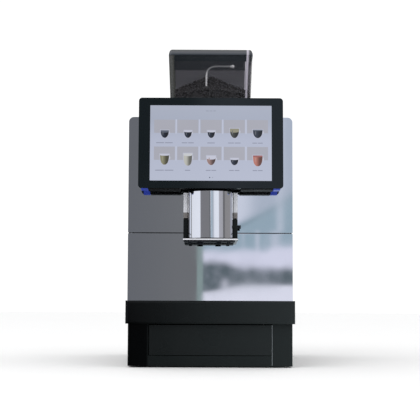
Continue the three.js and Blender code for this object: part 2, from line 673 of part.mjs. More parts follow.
part('brew_frame', brewFrame(), MATERIAL.steel);
part('brew_chamber', brewChamber(), MATERIAL.whitePlastic);
part('brew_piston', brewPiston(), MATERIAL.whitePlastic);
part('brew_spindle', rodZ(SPINDLE_X, BREW.y, 100.4, 215, 4, 14), MATERIAL.brass);
part('spindle_motor', rodZ(SPINDLE_X, BREW.y, 82, 99.7, 14), MATERIAL.steel);

// ---- water and power ----------------------------------------------------------------------
function boiler() {
  return joined([
    rodZ(BOILER.x, BOILER.y, 80.3, 98, 30, 20),
    rodZ(BOILER.x, BOILER.y, 95, 262, BOILER.radius, 28),
    rodZ(BOILER.x, BOILER.y, 262, 270, BOILER.radius, 28, 32),
  ]);
}

function waterPipe() {
  return tube([
    [98, 60, 270.4],
    [98, 60, 295],
    [92, 30, 305],
    [66, -40, 300],
    [40, -88, 285],
    [26, -98, 262],
    [25, -98, 237],
  ], 2.6, 24);
}

function pump() {
  const barrel = rodY(100, 118, -110, -20, 20, 24);
  const foot = box(88, 112, -100, -30, 80.3, 104);
  return joined([barrel, foot]);
}

function waterTank() {
  const { x0, x1, y0, y1, z0, z1 } = TANK;
  const shell = prismZ(rounded(x0, x1, y0, y1, 8), z0, z1, 4);
  const outlet = rodZ(57, 184, 142, z0 + 1, 7.5, 16);
  const inside = prismZ(rounded(x0 + 3, x1 - 3, y0 + 3, y1 - 3, 6), z0 + 3, z1 + 1, 4);
  return cut(joined([shell, outlet]), [inside, rodZ(57, 184, 140, z0 + 5, 3, 12)]);
}

function tankLid() {
  const plate = prismZ(rounded(TANK.x0 - 6, TANK.x1 + 6, 124, 244, 6), BODY_TOP + 0.5, BODY_TOP + 5, 4);
  const fingerDip = box(48, 66, 120, 130, BODY_TOP + 2, BODY_TOP + 10);
  return cut(plate, [fingerDip]);
}

function fanHousing() {
  const { x, z, half, y0, y1 } = FAN;
  const frame = cut(box(x - half, x + half, y0, y1, z - half, z + half), [rodY(x, z, y0 - 5, y1 + 5, 43, 32)]);
  const struts = [
    box(x - half + 1, x + half - 1, y1 - 4, y1, z - 2.5, z + 2.5),
    box(x - 2.5, x + 2.5, y1 - 4, y1, z - half + 1, z + half - 1),
  ];
  const hub = rodY(x, z, y1 - 4, y1, 16, 20);
  return joined([frame, ...struts, hub]);
}

function fanRotor() {
  const { x, z, y0, y1 } = FAN;
  const blades = [];
  for (let i = 0; i < 7; i += 1) {
    const blade = new THREE.BoxGeometry(27, 2.2, 17);
    blade.rotateX(THREE.MathUtils.degToRad(38));
    blade.translate(27, 0, 0);
    blade.rotateY((i / 7) * Math.PI * 2);
    blade.translate(x, y0 + 10, z);
    blades.push(solid(blade));
  }
  return joined([rodY(x, z, y0 + 2, y1 - 5, 16, 20), ...blades]);
}

const INLET = { x0: -125, x1: -65, z0: 94, z1: 121, y0: 222, y1: REAR - GAP, split: -90 };

function powerInlet() {
  const { x0, x1, z0, z1, y0, y1, split } = INLET;
  const block = box(x0, x1, y0, y1, z0, z1);
  const socket = box(x0 + 4, split - 3, y1 - 17, y1 + 5, z0 + 4, z1 - 4);
  const well = box(split + 1, x1 - 3, y1 - 12, y1 + 5, z0 + 3, z1 - 3);
  const pins = [-7, 0, 7].map((step) => {
    const x = (x0 + 4 + split - 3) / 2 + step;
    const z = (z0 + z1) / 2 + (step === 0 ? 3 : -2);
    return box(x - 1, x + 1, y1 - 19, y1 - 5.5, z - 2.5, z + 2.5);
  });
  return joined([cut(block, [socket, well]), ...pins]);
}

const ROCKER = { x: -78.5, z: (INLET.z0 + INLET.z1) / 2, y: REAR - 6 };

// The rocker is a shallow wedge that stands tipped to its off side.
function powerSwitch() {
  const outline = polygon([[-4, -8], [3.2, -9.4], [1.6, 0], [3.2, 9.4], [-4, 8]]);
  return prismX(outline, -9, 9);
}

part('boiler', boiler(), MATERIAL.insulation);
part('water_pipe', waterPipe(), MATERIAL.copper);
part('pump', pump(), MATERIAL.brass);
part('control_box', box(-147.6, -114, -40, 130, 190, 360), MATERIAL.graphite);
part('water_tank', waterTank(), MATERIAL.clearTank);
part('tank_lid', tankLid(), MATERIAL.mattBlack);
part('fan_housing', fanHousing(), MATERIAL.mattBlack);
part('fan_rotor', fanRotor(), MATERIAL.mattBlack);
part('power_inlet', powerInlet(), MATERIAL.mattBlack);
const rocker = part('power_switch', powerSwitch(), MATERIAL.rubber);
rocker.position.set(ROCKER.x, ROCKER.y, ROCKER.z);
rocker.rotation.x = THREE.MathUtils.degToRad(8);

export default machine;
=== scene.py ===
import math
import random

import bmesh
import bpy
from mathutils import Matrix, Vector


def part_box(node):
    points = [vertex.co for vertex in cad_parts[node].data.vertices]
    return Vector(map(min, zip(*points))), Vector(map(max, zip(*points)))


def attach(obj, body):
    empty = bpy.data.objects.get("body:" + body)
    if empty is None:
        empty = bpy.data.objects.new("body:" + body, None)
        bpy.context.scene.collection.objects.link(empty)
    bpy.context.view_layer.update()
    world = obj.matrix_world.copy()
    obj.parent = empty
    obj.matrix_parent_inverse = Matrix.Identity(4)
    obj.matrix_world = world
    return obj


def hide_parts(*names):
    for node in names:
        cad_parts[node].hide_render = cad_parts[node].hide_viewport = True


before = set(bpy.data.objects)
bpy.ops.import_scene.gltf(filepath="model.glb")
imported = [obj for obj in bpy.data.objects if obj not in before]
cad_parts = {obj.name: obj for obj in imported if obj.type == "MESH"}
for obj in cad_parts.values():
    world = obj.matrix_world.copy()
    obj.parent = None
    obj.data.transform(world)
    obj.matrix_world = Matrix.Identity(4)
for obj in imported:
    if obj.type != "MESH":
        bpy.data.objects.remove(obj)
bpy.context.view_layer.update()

MM = 0.001
random.seed(7)
scene = bpy.context.scene
scene.view_settings.view_transform = "Standard"
scene.view_settings.look = "None"


# ---- node helpers ---------------------------------------------------------------------------
class Net:
    """Short ways to add and join shader nodes in one node tree."""

    def __init__(self, tree):
        self.tree = tree

    def feed(self, socket, value):
        if isinstance(value, bpy.types.NodeSocket):
            self.tree.links.new(value, socket)
        elif value is not None:
            socket.default_value = value

    def add(self, kind, inputs=(), **settings):
        node = self.tree.nodes.new("ShaderNode" + kind)
        for key, value in settings.items():
            setattr(node, key, value)
        for index, value in enumerate(inputs):
            self.feed(node.inputs[index], value)
        return node

    def math(self, operation, a, b=None, c=None):
        return self.add("Math", (a, b, c), operation=operation).outputs[0]

    def remap(self, value, a0, a1, b0=0.0, b1=1.0, smooth=False):
        kind = "SMOOTHSTEP" if smooth else "LINEAR"
        return self.add("MapRange", (value, a0, a1, b0, b1), interpolation_type=kind).outputs[0]

    def rise(self, value, foot, top):
        """Smoothly from 0 at the foot to 1 at the top."""
        return self.remap(value, foot, top, smooth=True)

    def mix(self, factor, a, b):
        node = self.add("Mix", data_type="RGBA")
        self.feed(node.inputs[0], factor)
        self.feed(node.inputs[6], a)
        self.feed(node.inputs[7], b)
        return node.outputs[2]

    def noise(self, vector, scale, detail=2.0, rough=0.5):
        return self.add("TexNoise", (vector, None, scale, detail, rough)).outputs[0]

    def ramp(self, value, stops):
        node = self.add("ValToRGB", (value,))
        elements = node.color_ramp.elements
        elements[0].position = stops[0][0]
        elements[1].position = stops[-1][0]
        for place, _ in stops[1:-1]:
            elements.new(place)
        for element, (_, tone) in zip(elements, stops):
            element.color = paint(tone)
        return node.outputs[0]

    def spread(self, vector):
        """The x, y and z of a vector, as three sockets."""
        return self.add("SeparateXYZ", (vector,)).outputs

    def times(self, a, b):
        return self.math("MULTIPLY", a, b)

    def minus(self, a, b):
        return self.math("SUBTRACT", a, b)

    def peak(self, value, centre, reach):
        """1 where the value is at the centre, falling smoothly to 0 at the reach."""
        away = self.math("ABSOLUTE", self.minus(value, centre))
        return self.remap(away, 0.0, reach, 1.0, 0.0, smooth=True)

    def stretched(self, vector, scale):
        return self.add("Mapping", (vector, None, None, scale)).outputs[0]

    def unless_mirrored(self, plain, mirrored):
        """One shader for the eye and for matt surfaces, another for what glossy surfaces mirror."""
        glossy = self.add("LightPath").outputs["Is Glossy Ray"]
        return self.add("MixShader", (glossy, plain, mirrored)).outputs[0]


def paint(tone):
    """A linear colour with alpha, from a grey level or a triple."""
    if isinstance(tone, (int, float)):
        return (tone, tone, tone, 1.0)
    return (*tone, 1.0)


def screen_tone(red, green, blue):
    """A linear colour from display values of 0 to 255."""
    return tuple((value / 255) ** 2.2 for value in (red, green, blue))


class Finish(Net):
    """A Principled material whose patterns are laid out in the object's own metres."""

    def __init__(self, name, **sockets):
        self.material = bpy.data.materials.new(name)
        self.material.use_nodes = True
        super().__init__(self.material.node_tree)
        self.shader = self.tree.nodes["Principled BSDF"]
        self.place = self.add("TexCoord").outputs["Object"]
        for key, value in sockets.items():
            self.set(key.replace("_", " "), value)

    def set(self, socket, value):
        self.feed(self.shader.inputs[socket], value)

    def drift(self, dark, light, scale, detail=3.0):
        """A colour that drifts between two tones."""
        return self.mix(self.noise(self.place, scale, detail), paint(dark), paint(light))

    def mottle(self, dark, light, scale, detail=3.0):
        self.set("Base Color", self.drift(dark, light, scale, detail))

    def facing(self):
        """The x, y and z of the way that a face looks."""
        return self.spread(self.add("NewGeometry").outputs["True Normal"])

    def worn(self, low, high, scale, detail=3.0):
        """Roughness that drifts between two values, as handled surfaces do."""
        self.set("Roughness", self.remap(self.noise(self.place, scale, detail), 0.3, 0.7, low, high))

    def grained(self, scale, strength, depth, detail=2.0, vector=None):
        """Fine relief from noise."""
        height = self.noise(vector or self.place, scale, detail)
        bump = self.add("Bump")
        bump.inputs["Strength"].default_value = strength
        bump.inputs["Distance"].default_value = depth
        self.feed(bump.inputs["Height"], height)
        self.set("Normal", bump.outputs[0])


# ---- finishes of the record's slots ---------------------------------------------------------
def mirror():
    made = Finish("mirror_gloss", Metallic=1.0)
    made.mottle((0.82, 0.84, 0.87), (0.85, 0.87, 0.90), 6)
    made.worn(0.012, 0.05, 14, 6)
    return made


def graphite():
    made = Finish("powder_coat_graphite", Metallic=0.25)
    made.mottle((0.030, 0.031, 0.034), (0.043, 0.044, 0.048), 700)
    made.worn(0.38, 0.52, 30)
    made.grained(1500, 0.25, 0.0002)
    return made


def satin_black(name="moulded_satin_black", specular=0.18, reach=(-0.15, 0.15), step=0.0):
    """Black moulding with painted shade: deepest where the reach in x begins, and palest where it ends.

    With a step, it stays deepest as far as the drawer's left edge, and goes on from that share of the way.
    """
    made = Finish(name, Specular_IOR_Level=specular)
    across = made.spread(made.place)[0]
    left = made.drift((0.0001, 0.0002, 0.0003), (0.0006, 0.0010, 0.0013), 18)
    right = made.drift((0.0125, 0.0165, 0.0175), (0.0170, 0.0210, 0.0215), 18)
    share = made.remap(across, *reach, step, 1.0)
    if step:
        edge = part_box("grounds_drawer")[0].x
        share = made.times(share, made.remap(across, edge - 4 * MM, edge))
    made.set("Base Color", made.mix(share, left, right))
    made.worn(0.24, 0.36, 22)
    made.grained(2200, 0.10, 0.0001)
    return made


def matt_black():
    made = Finish("moulded_matt_black", Specular_IOR_Level=0.3)
    made.mottle((0.003, 0.0035, 0.004), (0.0085, 0.009, 0.010), 60)
    made.worn(0.50, 0.66, 35)
    made.grained(1800, 0.30, 0.0002)
    return made


def rubber():
    made = Finish("rubber_black")
    made.mottle((0.006, 0.006, 0.006), (0.014, 0.014, 0.014), 120)
    made.worn(0.75, 0.92, 60)
    made.grained(1200, 0.35, 0.0003)
    return made


def screen_glass():
    made = Finish("screen_glass_black", Specular_IOR_Level=0.36)
    made.mottle((0.0034, 0.0064, 0.0080), (0.0044, 0.0078, 0.0096), 9)
    made.worn(0.05, 0.11, 16, 5)
    return made


# The display's own light, and how much of it is left on the dark side of a cup.
SCREEN_STRENGTH = 0.93
SHADED_SHARE = 0.27


def scaled(tone, share):
    return tuple(channel * share for channel in tone)


def lit(name, tone, variety=0.06, shade=None):
    """A lit patch of the display: it gives its own light, drifting a little, and may darken to one side."""
    made = Finish(name, Roughness=0.14)
    made.set("Base Color", paint(0.004))
    glow = made.drift(scaled(tone, 1 - variety), scaled(tone, 1 + variety), 14, 2)
    if shade:
        across = made.spread(made.place)[0]
        glow = made.mix(made.rise(across, *shade), glow, paint(scaled(tone, SHADED_SHARE)))
    made.set("Emission Color", glow)
    made.set("Emission Strength", SCREEN_STRENGTH)
    return made


def display():
    """The lit ground, palest at its foot and dullest below its top edge."""
    made = lit("display_ground", screen_tone(172, 179, 197))
    low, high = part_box("lcd_panel")
    shade = made.remap(made.spread(made.place)[2], low.z, high.z)
    made.set("Emission Color", made.ramp(shade, [
        (0.0, screen_tone(184, 190, 209)),
        (0.55, screen_tone(180, 186, 206)),
        (0.80, screen_tone(168, 175, 193)),
        (1.0, screen_tone(172, 178, 195)),
    ]))
    return made


def light_bar():
    made = Finish("light_bar_blue", Roughness=0.3)
    made.mottle((0.012, 0.02, 0.12), (0.02, 0.035, 0.18), 40)
    made.set("Emission Color", made.drift((0.018, 0.036, 0.27), (0.03, 0.055, 0.36), 60, 2.0))
    made.set("Emission Strength", 0.72)
    return made


def chrome(name="chrome_polished", shadow_top=None):
    """Polished chrome, painted black up to the given height, if there is one: a painted shadow line along
    its foot. Polished chrome, painted black up to the gasket height, if there is one, in place of a
    gasket.
    """
    made = Finish(name, Metallic=1.0)
    plating = made.drift((0.86, 0.87, 0.89), (0.91, 0.92, 0.94), 20)
    if shadow_top:
        height = made.spread(made.place)[2]
        # Painted shadow: black below the given height, where the cover meets the part under it.
        plating = made.mix(made.remap(height, shadow_top, shadow_top + 0.4 * MM), paint(0.05), plating)
    made.set("Base Color", plating)
    made.worn(0.03, 0.08, 40, 5)
    return made


def silver(name="silver_satin", foot=None):
    """Satin silver paint, with painted shade: dark on faces that look down, dull below the foot height."""
    made = Finish(name, Metallic=0.25)
    tone = made.drift((0.70, 0.71, 0.75), (0.80, 0.81, 0.86), 45)
    if foot:
        height = made.spread(made.place)[2]
        dull = made.remap(height, foot, foot + 3 * MM, 1.0, 0.0, smooth=True)
        tone = made.mix(dull, tone, paint((0.22, 0.205, 0.20)))
    below = made.remap(made.facing()[2], -0.95, -0.6, 1.0, 0.0)
    made.set("Base Color", made.mix(below, tone, paint((0.012, 0.013, 0.016))))
    made.worn(0.18, 0.30, 60)
    made.grained(900, 0.08, 0.0001, vector=made.stretched(made.place, (1.0, 1.0, 14.0)))
    return made


def brushed(name, dark, light, stretch):
    made = Finish(name, Metallic=1.0)
    made.mottle(dark, light, 40)
    made.worn(0.28, 0.44, 50)
    made.grained(500, 0.18, 0.0002, vector=made.stretched(made.place, stretch))
    return made


# How much narrower the hopper's bin gets, from its top down, for each unit of height.
BIN_TAPER = 0.08


def smoked():
    """The bin's walls: clear in front to show the beans, dark behind, with painted highlights at the two
    front corners: a painted reflection at the right and a dimmer painted sheen at the left.
    """
    low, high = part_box("hopper_bin")
    made = Finish("smoked_bin")
    x, y, z = made.spread(made.place)
    depth = made.rise(y, low.y + 12 * MM, high.y - 12 * MM)
    foot_share = 1 - BIN_TAPER * (high.z - low.z) / (high.x - low.x)
    across = made.math("DIVIDE", x, made.remap(z, low.z, high.z, foot_share, 1.0))
    streak = corner_streak(made, across, high.x)
    # A dimmer painted sheen along the left-hand corner, which is paler and less clear there.
    edge = made.rise(across, -high.x + 11.2 * MM, -high.x + 8.8 * MM)

    rear = made.drift((0.054, 0.053, 0.062), (0.070, 0.068, 0.080), 30, 4)
    tint = made.mix(depth, paint((0.016, 0.017, 0.018)), rear)
    # The painted sheen at the left corner, then the painted reflection at the right.
    tint = made.mix(edge, tint, paint((0.046, 0.048, 0.044)))
    made.set("Base Color", made.mix(streak, tint, paint((0.36, 0.34, 0.40))))

    solidity = made.math("ADD", made.math("MULTIPLY_ADD", depth, 0.80, 0.13), made.times(edge, 0.6))
    made.set("Alpha", made.math("MAXIMUM", solidity, made.times(streak, 0.9)))
    made.worn(0.06, 0.16, 30, 5)
    return made


def corner_streak(made, across, half):
    """1 along a narrow upright strip near the right-hand corner, painted in place of a reflection."""
    near = made.rise(across, half - 12.8 * MM, half - 11.6 * MM)
    far = made.remap(across, half - 9.8 * MM, half - 6 * MM, 1.0, 0.0, smooth=True)
    return made.times(near, far)


def smoked_lid():
    """The lid: pale rounded crown, dark skirt, dark inside, and a painted reflection at the right-hand
    corner.
    """
    low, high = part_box("hopper_lid")
    crown_foot = high.z - 11.2 * MM
    made = Finish("smoked_lid", Specular_IOR_Level=0.28)
    x, y, z = made.spread(made.place)
    facing = made.facing()
    crown = made.ramp(made.remap(z, crown_foot, high.z - 2 * MM), [
        (0.0, (0.040, 0.048, 0.058)),
        (0.55, (0.105, 0.110, 0.122)),
        (1.0, (0.075, 0.078, 0.076)),
    ])
    above_skirt = made.rise(z, crown_foot - 1.2 * MM, crown_foot)
    body = made.mix(above_skirt, paint((0.0045, 0.0085, 0.0115)), crown)

    ceiling = made.remap(facing[2], -0.6, -0.4, 1.0, 0.0)
    middle = (low.y + high.y) / 2
    behind = made.remap(y, middle, middle + 10 * MM)
    rear_inside = made.times(behind, made.remap(facing[1], -0.6, -0.4, 1.0, 0.0))
    inside = made.math("MAXIMUM", ceiling, rear_inside)
    body = made.mix(inside, body, paint((0.019, 0.021, 0.026)))

    # The pale strip at the right-hand corner is a painted reflection.
    made.set("Base Color", made.mix(corner_streak(made, x, high.x), body, paint((0.46, 0.44, 0.50))))
    made.worn(0.12, 0.22, 30, 4)
    return made


def beans():
    made = Finish("roasted_beans")
    made.mottle((0.012, 0.011, 0.013), (0.038, 0.033, 0.038), 190)
    made.worn(0.38, 0.60, 120)
    made.grained(900, 0.4, 0.0004)
    return made


def insulation():
    made = Finish("foam_jacket")
    made.mottle((0.52, 0.50, 0.45), (0.66, 0.63, 0.57), 90)
    made.worn(0.8, 0.95, 60)
    made.grained(420, 0.6, 0.001)
    return made


def white_plastic():
    made = Finish("natural_plastic")
    made.mottle((0.62, 0.62, 0.60), (0.72, 0.72, 0.69), 25)
    made.worn(0.36, 0.5, 40)
    made.grained(900, 0.08, 0.0001)
    return made


def clear_tank():
    made = Finish("clear_tank", Alpha=0.34)
    made.mottle((0.50, 0.56, 0.60), (0.60, 0.66, 0.70), 20)
    made.worn(0.06, 0.14, 30, 4)
    return made


def outlet_dark():
    made = Finish("outlet_dark", Specular_IOR_Level=0.12)
    made.mottle((0.006, 0.008, 0.013), (0.015, 0.018, 0.026), 160)
    made.worn(0.42, 0.56, 90)
    return made


def nickel_rod():
    """The shut-off rod: bright upright and knob, with painted shade darkening the arm."""
    made = Finish("nickel_rod", Metallic=0.4)
    _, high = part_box("bean_gate")
    x, _, z = made.spread(made.place)
    arm = made.rise(z, high.z - 22 * MM, high.z - 10 * MM)
    knob = made.rise(x, high.x - 9 * MM, high.x - 7 * MM)
    # Painted shade: the arm is darkened, but not its knob.
    dull = made.times(arm, made.minus(1.0, knob))
    bright = made.drift((0.66, 0.65, 0.68), (0.78, 0.77, 0.80), 60)
    made.set("Base Color", made.mix(dull, bright, paint((0.27, 0.27, 0.29))))
    made.worn(0.16, 0.26, 80)
    return made


FINISHES = {
    "mirror": mirror(),
    "graphite": graphite(),
    "satin_black": satin_black(),
    "matt_black": matt_black(),
    "rubber": rubber(),
    "screen_glass": screen_glass(),
    "display": display(),
    "light_bar": light_bar(),
    "chrome": chrome(),
    "silver": silver(),
    "smoked": smoked(),
    "smoked_lid": smoked_lid(),
    "beans": beans(),
    "steel": brushed("steel_plain", (0.42, 0.43, 0.44), (0.52, 0.53, 0.54), (1.0, 14.0, 1.0)),
    "brass": brushed("brass_machined", (0.52, 0.38, 0.17), (0.62, 0.47, 0.24), (1.0, 1.0, 18.0)),
    "copper": brushed("copper_tube", (0.55, 0.27, 0.16), (0.66, 0.36, 0.24), (1.0, 1.0, 10.0)),
    "insulation": insulation(),
    "white_plastic": white_plastic(),
    "clear_tank": clear_tank(),
}


# ---- carried-over CAD nodes -----------------------------------------------------------------
SHARP_ANGLE = math.radians(32)
BEVEL_ANGLE = math.radians(34)


def smoothing_group():
    """A modifier that shades smooth, but keeps every edge that is sharper than the sharp angle."""
    group = bpy.data.node_groups.new("smooth_by_angle", "GeometryNodeTree")
    group.interface.new_socket("Geometry", in_out="INPUT", socket_type="NodeSocketGeometry")
    group.interface.new_socket("Geometry", in_out="OUTPUT", socket_type="NodeSocketGeometry")
    nodes, links = group.nodes, group.links
    start = nodes.new("NodeGroupInput")
    end = nodes.new("NodeGroupOutput")
    faces = nodes.new("GeometryNodeSetShadeSmooth")
    edges = nodes.new("GeometryNodeSetShadeSmooth")
    edges.domain = "EDGE"
    edges.inputs["Shade Smooth"].default_value = False
    angle = nodes.new("GeometryNodeInputMeshEdgeAngle")
    sharper = nodes.new("FunctionNodeCompare")
    sharper.inputs[1].default_value = SHARP_ANGLE
    links.new(start.outputs[0], faces.inputs[0])
    links.new(faces.outputs[0], edges.inputs[0])
    links.new(angle.outputs[0], sharper.inputs[0])
    links.new(sharper.outputs[0], edges.inputs["Selection"])
    links.new(edges.outputs[0], end.inputs[0])
    return group


SMOOTHING = smoothing_group()

# How far each node's edges are rounded, in mm; the nodes not named here get the usual radius.
USUAL_EDGE_RADIUS = 0.5
EDGE_RADIUS = {
    "drip_tray": 1.6,
    "base_plinth": 1.2,
    "grounds_drawer": 1.0,
    "top_cover": 0.8,
    "screen_bezel": 0.8,
    "screen_housing": 1.5,
    "hopper_base": 1.0,
    "control_box": 1.5,
    "spout_trim": 0.4,
    "spout_cover": 0.3,
    "water_pipe": 0.0,
    "coffee_beans": 0.0,
    "hopper_lid": 0.25,
    "nozzle_block": 0.2,
    "coffee_nozzle_left": 0.2,
    "coffee_nozzle_right": 0.2,
}


def soften(piece, radius):
    """Breaks the piece's sharp edges and smooths its round faces."""
    weld = piece.modifiers.new("weld", "WELD")
    weld.merge_threshold = 1e-6
    if radius > 0:
        bevel = piece.modifiers.new("edges", "BEVEL")
        bevel.width = radius * MM
        bevel.segments = 2
        bevel.limit_method = "ANGLE"
        bevel.angle_limit = BEVEL_ANGLE
        bevel.use_clamp_overlap = True
    smooth = piece.modifiers.new("smooth", "NODES")
    smooth.node_group = SMOOTHING
    flatter = piece.modifiers.new("flat_faces", "WEIGHTED_NORMAL")
    flatter.keep_sharp = True
    flatter.weight = 90


def refinish(finish, *names):
    for name in names:
        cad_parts[name].data.materials[0] = finish.material


for name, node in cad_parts.items():
    slot_name = node.data.materials[0].name
    refinish(FINISHES[slot_name], name)
    soften(node, EDGE_RADIUS.get(name, USUAL_EDGE_RADIUS))

# Nodes that look different from the rest of their slot.
# Heights of painted shade: the black shadow line at the chrome cover's foot, and the dulled foot of the
# silver cheeks.
SHADOW_LINE_HEIGHT = 1.4 * MM
CHEEK_FOOT_HEIGHT = 9 * MM
refinish(nickel_rod(), "bean_gate")
refinish(satin_black("plinth_black", 0.10, (-0.11, 0.13), 0.5), "base_plinth")
refinish(satin_black("drawer_black", 0.18, (-0.30, 0.16)), "grounds_drawer")
refinish(chrome("cover_chrome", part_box("spout_cover")[0].z + SHADOW_LINE_HEIGHT), "spout_cover")
cheek_silver = silver("cheek_silver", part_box("spout_cheek_left")[0].z + CHEEK_FOOT_HEIGHT)
refinish(cheek_silver, "spout_cheek_left", "spout_cheek_right")
refinish(outlet_dark(), "coffee_nozzle_left", "coffee_nozzle_right", "nozzle_block", "milk_port")

# The smoked hopper casts no shadow, so the room's light reaches the beans and its own back wall.
for name in ("hopper_bin", "hopper_lid"):
    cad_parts[name].visible_shadow = False
    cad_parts[name].visible_diffuse = False


# ---- building pieces ------------------------------------------------------------------------
def piece_from(name, points, faces, finish, body):
    mesh = bpy.data.meshes.new(name)
    mesh.from_pydata([tuple(point) for point in points], [], faces)
    mesh.update()
    mesh.materials.append(finish.material)
    piece = bpy.data.objects.new(name, mesh)
    scene.collection.objects.link(piece)
    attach(piece, body)
    return piece


class Screen:
    """The display's front face: distances across from its left edge and down from its top, in mm."""

    def __init__(self):
        # The panel is a leaning slab: of its four lowest and its four highest corners, two are in front.
        corners = {tuple(round(c, 6) for c in v.co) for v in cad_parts["lcd_panel"].data.vertices}
        by_height = sorted((Vector(c) for c in corners), key=lambda c: c.z)
        low = sorted(sorted(by_height[:4], key=lambda c: c.y)[:2], key=lambda c: c.x)
        high = sorted(sorted(by_height[4:], key=lambda c: c.y)[:2], key=lambda c: c.x)
        self.origin = high[0]
        self.right = (high[1] - high[0]).normalized()
        self.down = (low[0] - high[0]).normalized()
        self.out = self.down.cross(self.right)
        if self.out.y > 0:
            self.out = -self.out
        self.width = (high[1] - high[0]).length / MM
        self.height = (low[0] - high[0]).length / MM

    def point(self, across, down, lift):
        return self.origin + (self.right * across + self.down * down + self.out * lift) * MM


SCREEN = Screen()


def flat_piece(name, outlines, lift, finish):
    """Thin patches on the display, one n-gon for each outline of (across, down) points."""
    points = []
    faces = []
    for outline in outlines:
        faces.append(tuple(range(len(points), len(points) + len(outline))))
        points += [SCREEN.point(across, down, lift) for across, down in outline]
    return piece_from(name, points, faces, finish, "front_door")


def rectangle(x0, y0, x1, y1):
    return [(x0, y0), (x0, y1), (x1, y1), (x1, y0)]


def bar(x, y, width, height, steps=5):
    """A bar with round ends, centred on x and y."""
    radius = height / 2
    outline = []
    for side in (-1, 1):
        for i in range(steps + 1):
            turn = math.pi * (i / steps - 0.5)
            outline.append((
                x + side * (width / 2 - radius + radius * math.cos(turn)),
                y - side * radius * math.sin(turn),
            ))
    return outline


def ellipse(x, y, half_width, half_height, steps=20):
    turns = [2 * math.pi * i / steps for i in range(steps)]
    return [(x + half_width * math.cos(t), y + half_height * math.sin(t)) for t in turns]


def bowl(x, top, width, height, narrowing, steps=12):
    """The outline of a cup from the side: wide at the rim, drawn in and rounded at the foot."""
    sides = []
    for i in range(steps + 1):
        share = i / steps
        half = width / 2 * (1 - narrowing * share ** 2.4) * math.sqrt(1 - 0.88 * share ** 8)
        sides.append((half, top + height * share))
    return [(x - half, y) for half, y in sides] + [(x + half, y) for half, y in reversed(sides)]


# ---- display picture: mm across and down the display ----------------------------------------
TILE_LEFT = 7.1
TILE_PITCH = 41.5
TILE_WIDTH = 37.4
TILE_ROWS = ((26.0, 50.0), (74.8, 98.8))
LABEL_ROWS = (67.9, 117.4)
LABEL_WIDTHS = ((31, 23, 15, 24, 20), (34, 11, 20, 20, 19))
TWO_WORDS = 18    # a label wider than this has two words
PAGE_DOTS_DOWN = 130.2

# How far each layer of the picture stands off the display.
LIFT = {
    "ground": 0.03,
    "words": 0.05,
    "glow": 0.07,
    "handle": 0.085,
    "cup": 0.10,
    "foam": 0.13,
    "shine": 0.15,
}

SLATE = screen_tone(44, 51, 66)
OLIVE = screen_tone(146, 143, 124)
WHITE = screen_tone(198, 200, 216)
# drink: (row, column, top, width, height, narrowing, lower tone, upper tone, share of the upper tone)
DRINKS = (
    (0, 0, 45.4, 14.6, 13.6, 0.52, SLATE, screen_tone(92, 98, 112), 0.30),
    (0, 1, 45.6, 13.6, 13.2, 0.50, SLATE, WHITE, 0.24),
    (0, 2, 45.6, 13.4, 13.2, 0.50, SLATE, WHITE, 0.24),
    (0, 3, 41.8, 16.4, 17.0, 0.50, screen_tone(72, 74, 72), OLIVE, 0.42),
    (0, 4, 43.6, 17.2, 15.2, 0.50, screen_tone(56, 62, 74), screen_tone(104, 110, 122), 0.14),
    (1, 0, 88.6, 16.0, 18.8, 0.42, screen_tone(138, 136, 112), WHITE, 0.14),
    (1, 1, 87.0, 15.2, 22.0, 0.30, screen_tone(186, 186, 178), screen_tone(200, 202, 206), 0.22),
    (1, 2, 91.2, 16.2, 16.6, 0.50, screen_tone(152, 124, 120), WHITE, 0.40),
    (1, 3, 95.6, 13.8, 12.2, 0.50, SLATE, WHITE, 0.24),
    (1, 4, 90.2, 17.0, 19.4, 0.40, screen_tone(186, 122, 110), screen_tone(156, 98, 94), 0.16),
)


def tile_centre(column):
    return TILE_LEFT + TILE_PITCH * column + TILE_WIDTH / 2


def tile_grid():
    """The ten tiles, and the paler gaps between them."""
    tiles = []
    gaps = []
    for top, bottom in TILE_ROWS:
        for column in range(5):
            left = TILE_LEFT + TILE_PITCH * column
            tiles.append(rectangle(left, top, left + TILE_WIDTH, bottom))
            if column:
                gaps.append(rectangle(left - 3.4, top - 0.6, left - 0.7, bottom + 1.5))
    flat_piece("display_tiles", tiles, LIFT["ground"], lit("display_tile", screen_tone(170, 171, 182)))
    flat_piece("display_gaps", gaps, LIFT["ground"], lit("display_gap", screen_tone(190, 195, 214)))


def words_and_dots():
    """Plain bars where words would stand, and the two page dots."""
    labels = []
    for centre_down, widths in zip(LABEL_ROWS, LABEL_WIDTHS):
        for column, width in enumerate(widths):
            start = tile_centre(column) - width / 2
            words = 2 if width > TWO_WORDS else 1
            for word in range(words):
                length = width / words - 1.2
                labels.append(bar(start + (word + 0.5) * width / words, centre_down, length, 1.5))
    middle = SCREEN.width / 2
    title = [bar(middle + x, 9.8, 5.2, 1.9) for x in (-6.5, 0, 6.5)]
    page_dot = [ellipse(middle - 1.9, PAGE_DOTS_DOWN, 1.1, 1.1)]
    next_dot = [ellipse(middle + 3.1, PAGE_DOTS_DOWN, 0.9, 0.9)]
    for name, outlines, finish in (
        ("display_labels", labels, lit("display_label", screen_tone(143, 147, 166))),
        ("display_title", title, lit("display_title", screen_tone(156, 162, 179))),
        ("display_page_dot", page_dot, lit("display_dot", screen_tone(90, 96, 112))),
        ("display_next_dot", next_dot, lit("display_next_dot", screen_tone(150, 156, 172))),
    ):
        flat_piece(name, outlines, LIFT["words"], finish)


